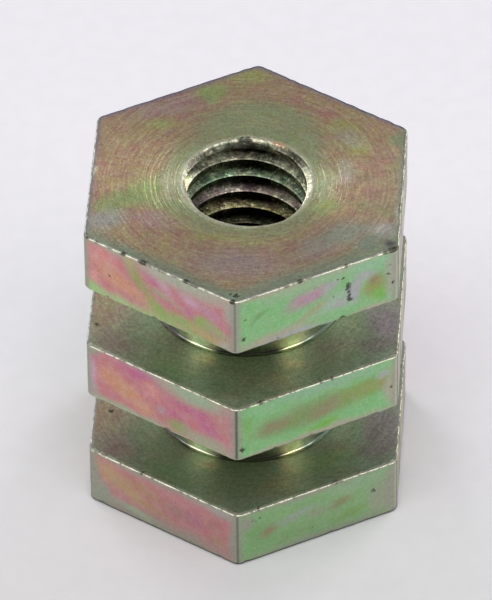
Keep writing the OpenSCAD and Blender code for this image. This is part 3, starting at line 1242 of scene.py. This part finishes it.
def tapped_thread():
    """The thread and both mouths, with painted sparkles, and painted shade at the back of the top mouth and
    in the notch.
    """
    hole = Surface("tapped_thread")
    colour = hole.grained(hole.film_colour(hue_play=0.06, value_play=0.25), amount=0.35)
    sparkle = hole.remap(hole.speckle(0.24, 2.0), (0.58, 0.7), (1, 3.0))
    mottle = hole.remap(hole.speckle(0.6, 4, 0.6), NARROW, (0.5, 1.4))
    axes = hole.axes(hole.place)
    rim = hole.remap(axes["Z"], RIM_LEVELS, (MOUTH_SHADE, 1))
    turns = hole.remap(axes["Z"], TURN_LEVELS, (1, 0))
    sides = hole.remap(axes["Y"], SIDE_REACH, (SIDE_SHADE, 0))
    shade = hole.sums("MAXIMUM", hole.sums("MAXIMUM", rim, turns), sides)
    for factor in (sparkle, mottle, shade):
        colour = hole.scaled(colour, factor)
    colour = hole.darkened(colour, hole.pitted(NOTCH_PITS_AND_SHADE), NOTCH_DARKNESS)
    return hole.finish_metal(colour, hole.mottle(0.5, 0.25, 0.45), hole.speckle(0.18), 0.03)


# Stage

FLOOR_HALF = 2000
# Colours of the sheet at its front and back: the darker front is painted shade
FLOOR_FRONT, FLOOR_FRONT_COLOUR = -20, (0.825, 0.813, 0.822)
FLOOR_BACK, FLOOR_BACK_COLOUR = 18, (0.872, 0.853, 0.894)
FLOOR_ROUGHNESS = 0.75


def pale_sheet():
    """Pale paper with a faint grain, painted a little darker towards the front as shade."""
    sheet = Surface("pale_sheet")
    back = sheet.axes(sheet.place)["Y"]
    share = sheet.remap(back, (FLOOR_FRONT * MM, FLOOR_BACK * MM), (0, 1))
    colour = sheet.mix(share, FLOOR_FRONT_COLOUR, FLOOR_BACK_COLOUR)
    colour = sheet.scaled(colour, sheet.mottle(1.5, 0.985, 1.015))
    sheet.shade({"Base Color": colour, "Roughness": FLOOR_ROUGHNESS})
    return sheet.material


def make_floor():
    half = FLOOR_HALF * MM
    mesh = bpy.data.meshes.new("floor")
    corners = [(-half, -half, 0), (half, -half, 0), (half, half, 0), (-half, half, 0)]
    mesh.from_pydata(corners, [], [(0, 1, 2, 3)])
    mesh.materials.append(pale_sheet())
    floor = linked("floor", mesh)


def direction(azimuth, elevation):
    """Unit vector towards a place seen from the object, by azimuth from the front of it."""
    turn, tilt = radians(azimuth), radians(elevation)
    return Vector((sin(turn) * cos(tilt), -cos(turn) * cos(tilt), sin(tilt)))


# Soft boxes that face the nut: azimuth, elevation, both sizes in metres and power in watts
LIGHT_DISTANCE = 1.3
LIGHTS = {
    "left_softbox": (-62, 34, 0.7, 1, 3.0),
    "right_softbox": (62, 34, 0.7, 1, 3.0),
    "back_left_panel": (-142, 25, 0.6, 0.9, 4.4),
    "back_right_panel": (142, 25, 0.6, 0.9, 4.4),
    "top_softbox": (0, 70, 0.8, 0.8, 6.5),
}


def soft_light(name, azimuth, elevation, width, height, power):
    data = bpy.data.lights.new(name, "AREA")
    data.shape = "RECTANGLE"
    data.size = width
    data.size_y = height
    data.energy = power
    light = linked(name, data)
    towards = direction(azimuth, elevation)
    light.location = towards * LIGHT_DISTANCE
    light.rotation_mode = "QUATERNION"
    light.rotation_quaternion = towards.to_track_quat("Z", "Y")
    light.visible_camera = False


# Colour of the surroundings, and their strength at the front and at the back
WORLD_COLOUR = (0.96, 0.96, 1)
WORLD_STRENGTHS = (0.12, 0.44)
WORLD_REACH = (-0.7, 0.7)


def make_world():
    """Even surroundings, darker towards the front."""
    world = bpy.data.worlds.new("studio")
    world.use_nodes = True
    nodes = Nodes(world.node_tree)
    back = nodes.axes(nodes.coordinates["Generated"])["Y"]
    background = nodes.tree.nodes["Background"].inputs
    nodes.give(background["Color"], WORLD_COLOUR)
    nodes.give(background["Strength"], nodes.remap(back, WORLD_REACH, WORLD_STRENGTHS))
    bpy.context.scene.world = world


def make_camera():
    data = bpy.data.cameras.new("camera")
    data.sensor_width = SENSOR
    data.lens = FOCAL_PIXELS * SENSOR / IMAGE_LONG_SIDE
    data.clip_start, data.clip_end = CLIP_METRES
    camera = linked("camera", data)
    back = direction(CAMERA_AZIMUTH, CAMERA_ELEVATION)
    look = (-back).to_track_quat("-Z", "Y") @ Quaternion((0, 0, 1), radians(CAMERA_ROLL))
    aim = Vector((0, 0, NUT_HEIGHT / 2)) + look @ Vector((-AIM_LEFT, AIM_UP, 0))
    camera.location = (aim + back * CAMERA_DISTANCE) * MM
    camera.rotation_mode = "QUATERNION"
    camera.rotation_quaternion = look
    bpy.context.scene.camera = camera


make_camera()
nut = make_nut([turned_face(), groove_face(), drawn_flat(), worn_and_highlit_edge(), turned_core(), tapped_thread()])
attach(nut, BODY)
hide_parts(NODE)

make_floor()
make_world()
for light_name, light_settings in LIGHTS.items():
    soft_light(light_name, *light_settings)
bpy.context.scene.view_settings.view_transform = "Standard"
